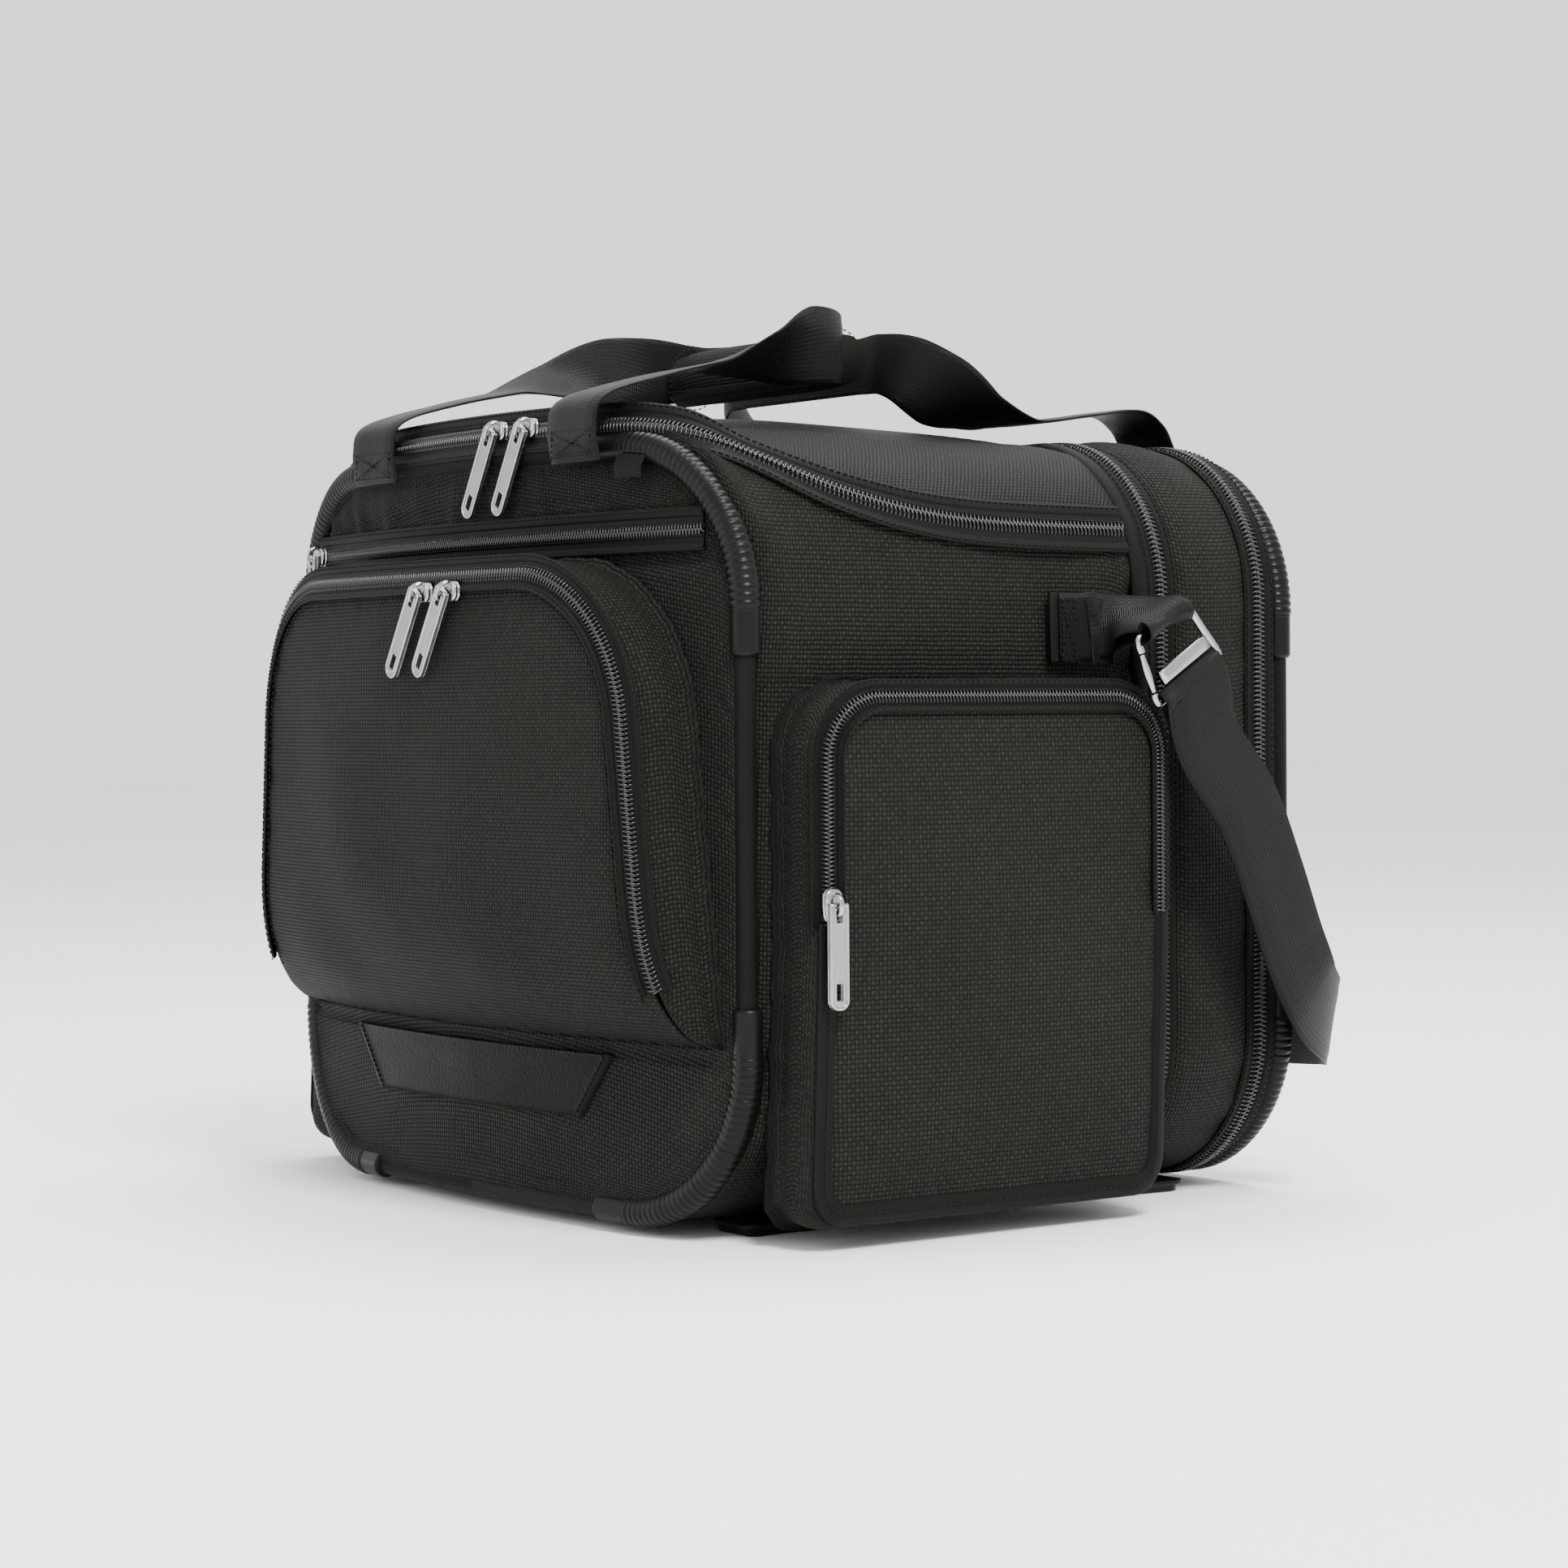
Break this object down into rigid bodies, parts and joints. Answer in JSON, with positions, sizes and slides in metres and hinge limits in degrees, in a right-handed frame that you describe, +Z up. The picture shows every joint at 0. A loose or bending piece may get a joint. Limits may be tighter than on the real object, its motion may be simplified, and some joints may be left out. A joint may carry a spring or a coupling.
{
  "type": "flight bag",
  "caption": "Soft-sided flight bag with zipped lid, front, side and rear compartments, corner bumpers, paired handles and a shoulder strap.",
  "frame": {"origin": "middle of the bounding box at the surface the bag stands on", "axes": "+X to the bag's left-hand wearer side, the right as seen from the front; +Y from the front pocket to the rear cover; +Z up"},
  "size_m": [0.4582, 0.4172, 0.4],
  "materials": {
    "ballistic_nylon": "coarse basket weave, matte",
    "lining": "plain lining",
    "zip_coil": "coil zip on woven tape",
    "piping": "woven binding over cord",
    "webbing": "ribbed, satin",
    "rubber": "moulded, satin",
    "leather": "smooth, satin",
    "board": "stiffener sheet",
    "black_plastic": "moulded",
    "nickel": "satin nickel plate"
  },
  "bodies": {
    "body": {"body_shell": "ballistic_nylon", "front_panel": "ballistic_nylon", "front_pocket_base": "ballistic_nylon", "side_pocket_right": "ballistic_nylon", "side_pocket_left": "ballistic_nylon", "rear_gusset": "ballistic_nylon", "rear_wall": "lining", "body_zip": "zip_coil", "slip_pocket_zip": "zip_coil", "front_pocket_zip": "zip_coil", "rear_zip": "zip_coil", "front_piping": "piping", "front_bumper_top_right": "rubber", "front_bumper_top_left": "rubber", "front_bumper_bottom_right": "rubber", "front_bumper_bottom_left": "rubber", "leather_patch": "leather", "base_board": "board", "foot_front_right": "black_plastic", "foot_front_left": "black_plastic", "foot_rear_right": "black_plastic", "foot_rear_left": "black_plastic"},
    "lid": {"lid": "ballistic_nylon", "lid_zip": "zip_coil"},
    "front_handle": {"front_handle": "webbing", "handle_wrap": "ballistic_nylon"},
    "rear_cover": {"rear_cover": "ballistic_nylon", "rear_piping": "piping", "rear_bumper_top_right": "rubber", "rear_bumper_top_left": "rubber", "rear_bumper_bottom_right": "rubber", "rear_bumper_bottom_left": "rubber"},
    "rear_handle": {"rear_handle": "webbing"},
    "front_flap": {"front_pocket_flap": "ballistic_nylon"},
    "side_flap_right": {"side_flap_right": "ballistic_nylon"},
    "side_flap_left": {"side_flap_left": "ballistic_nylon"},
    "strap": {"strap_loop_right": "webbing", "strap_loop_left": "webbing", "strap_clip_right": "nickel", "strap_clip_left": "nickel", "strap_webbing": "webbing", "strap_adjuster": "black_plastic"},
    "clip_gate_right": {"clip_gate_right": "nickel"},
    "clip_gate_left": {"clip_gate_left": "nickel"},
    "slider_main_right": {"slider_main_right": "nickel"},
    "pull_main_right": {"pull_main_right": "nickel"},
    "slider_main_left": {"slider_main_left": "nickel"},
    "pull_main_left": {"pull_main_left": "nickel"},
    "slider_pocket_right": {"slider_pocket_right": "nickel"},
    "pull_pocket_right": {"pull_pocket_right": "nickel"},
    "slider_pocket_left": {"slider_pocket_left": "nickel"},
    "pull_pocket_left": {"pull_pocket_left": "nickel"},
    "slider_slip": {"slider_slip": "nickel"},
    "pull_slip": {"pull_slip": "nickel"},
    "slider_side_right": {"slider_side_right": "nickel"},
    "pull_side_right": {"pull_side_right": "nickel"},
    "slider_side_left": {"slider_side_left": "nickel"},
    "pull_side_left": {"pull_side_left": "nickel"},
    "slider_rear": {"slider_rear": "nickel"},
    "pull_rear": {"pull_rear": "nickel"}
  },
  "joints": [
    {"name": "lid_hinge", "type": "hinge", "parent": "body", "child": "lid", "pos_m": [0, 0.06406, 0.344], "axis": [-1, 0, 0], "range_deg": [0, 100]},
    {"name": "front_handle_swing", "type": "hinge", "parent": "body", "child": "front_handle", "pos_m": [0, -0.17044, 0.334], "axis": [1, 0, 0], "range_deg": [0, 205], "deforming": ["front_handle"]},
    {"name": "rear_handle_swing", "type": "hinge", "parent": "rear_cover", "child": "rear_handle", "pos_m": [0, 0.15556, 0.348], "axis": [-1, 0, 0], "range_deg": [0, 150]},
    {"name": "front_flap_open", "type": "hinge", "parent": "body", "child": "front_flap", "pos_m": [0, -0.20064, 0.10415], "axis": [1, 0, 0], "range_deg": [0, 75]},
    {"name": "side_flap_right_open", "type": "hinge", "parent": "body", "child": "side_flap_right", "pos_m": [0.217, -0.03344, 0.13215], "axis": [0, 1, 0], "range_deg": [0, 90]},
    {"name": "side_flap_left_open", "type": "hinge", "parent": "body", "child": "side_flap_left", "pos_m": [-0.217, -0.03344, 0.13215], "axis": [0, -1, 0], "range_deg": [0, 90]},
    {"name": "rear_cover_open", "type": "hinge", "parent": "body", "child": "rear_cover", "pos_m": [0, 0.15856, 0.004], "axis": [-1, 0, 0], "range_deg": [0, 45]},
    {"name": "strap_swing", "type": "hinge", "parent": "body", "child": "strap", "pos_m": [0, 0.04556, 0.262], "axis": [1, 0, 0], "range_deg": [0, 180]},
    {"name": "clip_gate_right_press", "type": "hinge", "parent": "strap", "child": "clip_gate_right", "pos_m": [0.224, 0.04943, 0.2291], "axis": [-1, 0, 0], "range_deg": [0, 18], "stiffness_Nm_per_rad": 0.02},
    {"name": "clip_gate_left_press", "type": "hinge", "parent": "strap", "child": "clip_gate_left", "pos_m": [-0.224, 0.04943, 0.2291], "axis": [-1, 0, 0], "range_deg": [0, 18], "stiffness_Nm_per_rad": 0.02},
    {"name": "slider_main_right_slide", "type": "hinge", "parent": "lid", "child": "slider_main_right", "pos_m": [0, 0.72916, 0.349], "axis": [0, 0, 1], "range_deg": [0, 1.2]},
    {"name": "slider_main_left_slide", "type": "hinge", "parent": "lid", "child": "slider_main_left", "pos_m": [0, 0.72916, 0.349], "axis": [0, 0, 1], "range_deg": [-3.2, 0]},
    {"name": "slider_pocket_right_slide", "type": "hinge", "parent": "front_flap", "child": "slider_pocket_right", "pos_m": [0, 0.72916, 0.277], "axis": [0, 0, 1], "range_deg": [0, 2.2]},
    {"name": "slider_pocket_left_slide", "type": "hinge", "parent": "front_flap", "child": "slider_pocket_left", "pos_m": [0, 0.72916, 0.277], "axis": [0, 0, 1], "range_deg": [-5.4, 0]},
    {"name": "slider_slip_slide", "type": "hinge", "parent": "body", "child": "slider_slip", "pos_m": [0, 0.72916, 0.3], "axis": [0, 0, 1], "range_deg": [0, 0.5]},
    {"name": "slider_side_right_slide", "type": "slide", "parent": "body", "child": "slider_side_right", "axis": [0, 0, 1], "range_m": [0, 0.055]},
    {"name": "slider_side_left_slide", "type": "slide", "parent": "body", "child": "slider_side_left", "axis": [0, 0, 1], "range_m": [0, 0.055]},
    {"name": "slider_rear_slide", "type": "slide", "parent": "body", "child": "slider_rear", "axis": [0, 0, 1], "range_m": [-0.14, 0.03]},
    {"name": "pull_main_right_lift", "type": "hinge", "parent": "slider_main_right", "child": "pull_main_right", "pos_m": [0.048, -0.16694, 0.349], "axis": [-0.866, 0, 0.5], "range_deg": [0, 150]},
    {"name": "pull_main_left_lift", "type": "hinge", "parent": "slider_main_left", "child": "pull_main_left", "pos_m": [0.024, -0.16791, 0.349], "axis": [-0.866, 0, 0.5], "range_deg": [0, 150]},
    {"name": "pull_pocket_right_lift", "type": "hinge", "parent": "slider_pocket_right", "child": "pull_pocket_right", "pos_m": [0.044, -0.20529, 0.277], "axis": [-0.848, 0, 0.5299], "range_deg": [0, 150]},
    {"name": "pull_pocket_left_lift", "type": "hinge", "parent": "slider_pocket_left", "child": "pull_pocket_left", "pos_m": [0.022, -0.20608, 0.277], "axis": [-0.848, 0, 0.5299], "range_deg": [0, 150]},
    {"name": "pull_slip_lift", "type": "hinge", "parent": "slider_slip", "child": "pull_slip", "pos_m": [-0.15902, -0.1583, 0.3], "axis": [-0.9848, 0.1736, 0], "range_deg": [0, 150]},
    {"name": "pull_side_right_lift", "type": "hinge", "parent": "slider_side_right", "child": "pull_side_right", "pos_m": [0.2219, -0.12394, 0.144], "axis": [0, -1, 0], "range_deg": [0, 150]},
    {"name": "pull_side_left_lift", "type": "hinge", "parent": "slider_side_left", "child": "pull_side_left", "pos_m": [-0.2219, -0.12394, 0.144], "axis": [0, 1, 0], "range_deg": [0, 150]},
    {"name": "pull_rear_lift", "type": "hinge", "parent": "slider_rear", "child": "pull_rear", "pos_m": [-0.1959, 0.14006, 0.24], "axis": [0, 1, 0], "range_deg": [0, 150]}
  ],
  "couplings": [
    {"joint": "front_handle_swing", "follows": "lid_hinge", "ratio": 2.05},
    {"joint": "rear_handle_swing", "follows": "lid_hinge", "ratio": 1.5},
    {"joint": "strap_swing", "follows": "rear_cover_open", "ratio": 4}
  ]
}
